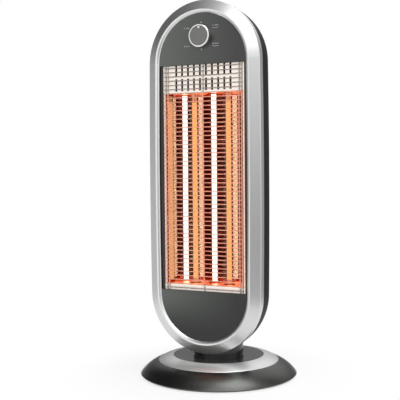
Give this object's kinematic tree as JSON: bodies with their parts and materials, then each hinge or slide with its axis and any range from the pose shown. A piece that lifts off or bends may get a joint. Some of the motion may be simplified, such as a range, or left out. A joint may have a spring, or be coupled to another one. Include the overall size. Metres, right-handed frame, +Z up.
{
  "type": "twin tube carbon heater",
  "caption": "Oval tower carbon heater with glowing quartz tubes behind a wire guard, a control knob, and a swinging neck on a round weighted base.",
  "frame": {"origin": "centre of the round base's underside, at the level of the rubber feet, on the axis that the tower swings about", "axes": "+Z up along the swing axis; the window and the knob face -Y, and +X is to the right for a viewer in front"},
  "size_m": [0.24, 0.2399, 0.5664],
  "materials": {
    "base_plastic": "gloss black moulded plastic",
    "silver_paint": "satin silver paint",
    "disc_plastic": "gloss dark grey plastic",
    "floor_steel": "black painted steel",
    "ballast_iron": "rough cast iron",
    "foot_rubber": "matte rubber",
    "screw_steel": "zinc plated",
    "small_plastic": "matte black plastic",
    "washer_plastic": "slippery nylon",
    "motor_steel": "plated steel can",
    "crank_plastic": "acetal plastic",
    "switch_plastic": "moulded plastic",
    "neck_plastic": "gloss black moulded plastic",
    "plated_steel": "zinc plated sheet",
    "casing_plastic": "fine grained black plastic",
    "panel_plastic": "dark metallic grey plastic",
    "frame_plastic": "matte black plastic",
    "guard_steel": "nickel plated wire",
    "bright_metal": "polished aluminium",
    "cover_metal": "satin bright aluminium",
    "quartz": "clear quartz",
    "carbon_glow": "glowing carbon",
    "cap_ceramic": "unglazed steatite",
    "block_plastic": "white polyamide",
    "knob_chrome": "satin chromed plastic",
    "knob_grey": "dark grey plastic",
    "pointer_white": "white plastic"
  },
  "bodies": {
    "root": {"base_shell": "base_plastic", "base_trim_ring": "silver_paint", "base_top_disc": "disc_plastic", "base_bottom_plate": "floor_steel", "ballast_ring": "ballast_iron", "rubber_feet": "foot_rubber", "base_screws": "screw_steel", "cord_gland": "small_plastic", "thrust_washer": "washer_plastic", "oscillation_motor": "motor_steel", "motor_screws": "screw_steel", "tip_over_switch": "switch_plastic"},
    "tower": {"neck": "neck_plastic", "swivel_plate": "plated_steel", "swivel_screws": "screw_steel", "neck_bracket": "plated_steel", "rear_casing": "casing_plastic", "casing_screws": "screw_steel", "trim_ring": "silver_paint", "upper_panel": "panel_plastic", "lower_panel": "panel_plastic", "front_frame": "frame_plastic", "guard_wires": "guard_steel", "guard_rods": "guard_steel", "reflector": "bright_metal", "reflector_top_cover": "cover_metal", "reflector_bottom_cover": "cover_metal", "heat_shield": "plated_steel", "quartz_tube_left": "quartz", "quartz_tube_right": "quartz", "carbon_element_left": "carbon_glow", "carbon_element_right": "carbon_glow", "tube_end_caps": "cap_ceramic", "tube_clips": "plated_steel", "rotary_switch": "switch_plastic", "overheat_thermostat": "switch_plastic", "terminal_block": "block_plastic"},
    "crank": {"motor_crank": "crank_plastic"},
    "knob": {"knob_rim": "knob_chrome", "knob_face": "knob_grey", "knob_pointer": "pointer_white", "knob_shaft": "plated_steel"},
    "plunger": {"tip_over_plunger": "crank_plastic"}
  },
  "joints": [
    {"name": "tower_swing", "type": "hinge", "parent": "root", "child": "tower", "pos_m": [0, 0, 0.0315], "axis": [0, 0, 1], "range_deg": [-35, 35]},
    {"name": "crank_turn", "type": "hinge", "parent": "root", "child": "crank", "pos_m": [0, 0.025, 0.0201], "axis": [0, 0, 1], "range_deg": [-106, 106]},
    {"name": "knob_turn", "type": "hinge", "parent": "tower", "child": "knob", "pos_m": [0, -0.0512, 0.5125], "axis": [0, -1, 0], "continuous": true},
    {"name": "plunger_slide", "type": "slide", "parent": "root", "child": "plunger", "axis": [0, 0, -1], "range_m": [0, 0.005], "stiffness_N_per_m": 20, "springref_m": 0.006}
  ],
  "couplings": [
    {"joint": "crank_turn", "follows": "tower_swing", "ratio": 3}
  ]
}
